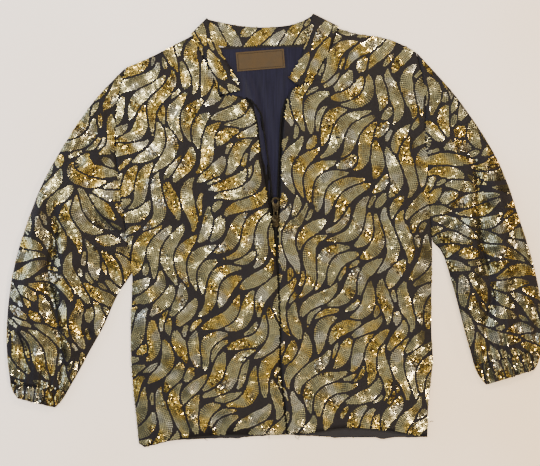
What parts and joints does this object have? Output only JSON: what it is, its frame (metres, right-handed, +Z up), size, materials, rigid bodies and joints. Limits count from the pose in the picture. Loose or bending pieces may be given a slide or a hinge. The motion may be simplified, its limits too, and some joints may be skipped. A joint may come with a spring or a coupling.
{
  "type": "sequined zip-front jacket",
  "caption": "Sequined zip-front jacket with stand collar, puffed sleeves and gathered cuffs, laid flat on its back; the zip's pull tab swings on its slider.",
  "frame": {"origin": "centre of the bounding box, on the surface that the jacket lies on", "axes": "+X to the viewer's right across the sleeves, +Y from the hem to the collar, +Z up from the surface to the fronts"},
  "size_m": [0.8013, 0.65, 0.0218],
  "materials": {
    "sequined_cloth": "gold sequins in leaf shapes on near-black cloth",
    "navy_satin": "satin lining",
    "black_cloth": "matt woven",
    "tan_label": "woven, bare",
    "antique_brass": "dark plated, satin"
  },
  "bodies": {
    "jacket": {"back": "sequined_cloth", "back_lining": "navy_satin", "hem_facing": "black_cloth", "left_front": "sequined_cloth", "right_front": "sequined_cloth", "left_sleeve": "sequined_cloth", "right_sleeve": "sequined_cloth", "left_cuff": "sequined_cloth", "right_cuff": "sequined_cloth", "collar": "sequined_cloth", "neck_label": "tan_label", "zip_tape_left": "black_cloth", "zip_tape_right": "black_cloth", "zip_coil_left": "black_cloth", "zip_coil_right": "black_cloth", "zip_chain": "black_cloth", "zip_slider": "antique_brass"},
    "pull_tab": {"zip_pull": "antique_brass"}
  },
  "joints": [
    {"name": "pull_tab_swing", "type": "hinge", "parent": "jacket", "child": "pull_tab", "pos_m": [0.0013, 0.0206, 0.0081], "axis": [1, 0, 0], "range_deg": [0, 170]}
  ]
}
